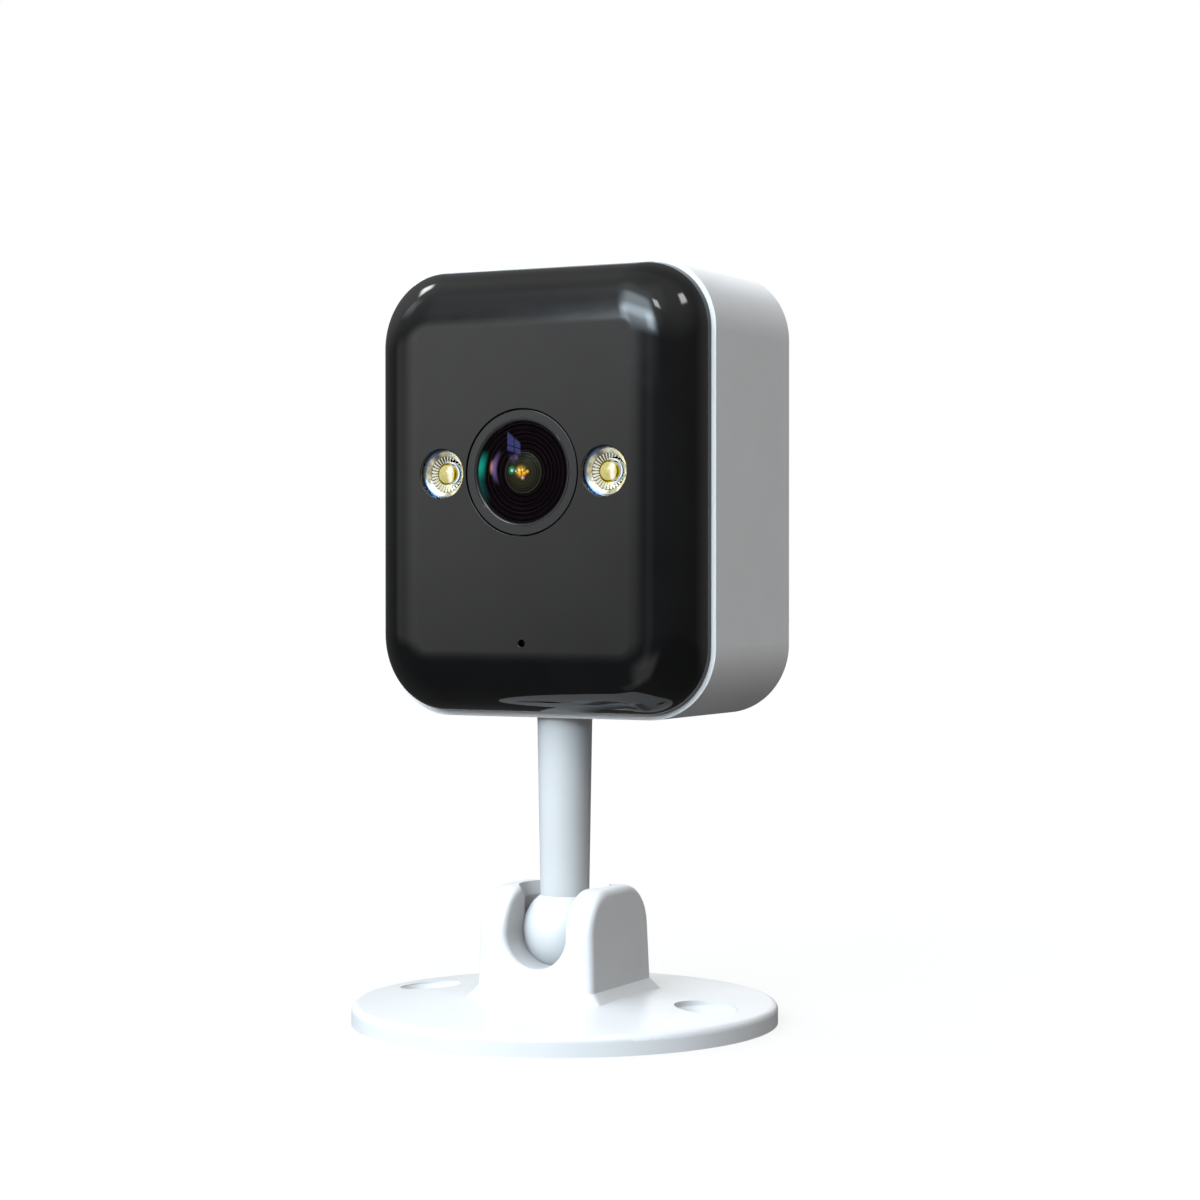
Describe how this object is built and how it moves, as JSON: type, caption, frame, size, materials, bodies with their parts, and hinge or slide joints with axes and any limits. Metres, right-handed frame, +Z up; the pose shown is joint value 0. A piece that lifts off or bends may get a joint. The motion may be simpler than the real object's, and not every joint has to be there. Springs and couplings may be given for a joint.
{
  "type": "ball-joint camera",
  "caption": "Compact camera with a boxy head and a crowned front, on a short stem whose ball turns in a slotted socket on a round screw-down base.",
  "frame": {"origin": "centre of the round base's underside, on the stem's axis", "axes": "+Z up along the stem, -Y is the way the camera faces, +X is to the right when it is seen from its front"},
  "size_m": [0.06, 0.06, 0.1062],
  "materials": {
    "white_plastic": "moulded, satin gloss",
    "black_gloss": "polished black",
    "black_plastic": "fine matt black",
    "lens_glass": "coated optical glass",
    "clear_window": "clear",
    "reflector": "metallised, ribbed",
    "phosphor": "yellow phosphor under clear resin",
    "circuit_board": "green solder mask",
    "chip_package": "moulded black",
    "steel": "plated",
    "rubber": "matt",
    "nylon": "natural nylon",
    "speaker_plastic": "matt black",
    "speaker_cone": "pressed",
    "cable_sheath": "flexible sheath",
    "antenna_foil": "film over copper"
  },
  "bodies": {
    "stand": {"base": "white_plastic", "foot_pad": "rubber"},
    "ball": {"ball": "white_plastic"},
    "stem": {"stem": "white_plastic", "retaining_washer": "steel", "stem_screw": "steel"},
    "head": {"housing": "white_plastic", "front_panel": "black_gloss", "lens_trim_ring": "black_gloss", "lens_barrel": "black_plastic", "lens_baffle": "black_plastic", "lens_retaining_ring": "black_plastic", "lens_spacer": "black_plastic", "lens_holder": "black_plastic", "lens_front_element": "lens_glass", "lens_second_element": "lens_glass", "lens_third_element": "lens_glass", "lens_rear_element": "lens_glass", "ir_filter": "lens_glass", "led_windows": "clear_window", "led_reflectors": "reflector", "led_emitters": "phosphor", "main_board": "circuit_board", "led_board": "circuit_board", "processor": "chip_package", "memory_chip": "chip_package", "power_parts": "chip_package", "image_sensor": "chip_package", "reset_switch": "chip_package", "board_screws": "steel", "led_board_screws": "steel", "microsd_socket": "steel", "usb_socket": "steel", "speaker_magnet": "steel", "wifi_module": "steel", "microphone": "steel", "mic_boot": "rubber", "speaker_gasket": "rubber", "friction_washer": "nylon", "speaker_frame": "speaker_plastic", "speaker_diaphragm": "speaker_cone", "led_cable": "cable_sheath", "mic_cable": "cable_sheath", "speaker_cable": "cable_sheath", "antenna_cable": "cable_sheath", "wifi_antenna": "antenna_foil"},
    "button": {"reset_button": "white_plastic", "reset_plunger": "black_plastic"}
  },
  "joints": [
    {"name": "ball_tilt", "type": "hinge", "parent": "stand", "child": "ball", "pos_m": [0, 0, 0.0129], "axis": [1, 0, 0], "range_deg": [-90, 90]},
    {"name": "stem_lean", "type": "hinge", "parent": "ball", "child": "stem", "pos_m": [0, 0, 0.0129], "axis": [0, 1, 0], "range_deg": [-5, 5]},
    {"name": "head_pan", "type": "hinge", "parent": "stem", "child": "head", "pos_m": [0, 0, 0.0429], "axis": [0, 0, 1], "continuous": true},
    {"name": "reset_press", "type": "slide", "parent": "head", "child": "button", "axis": [0, -1, 0], "range_m": [0, 0.0003], "stiffness_N_per_m": 40, "springref_m": -0.0002}
  ]
}
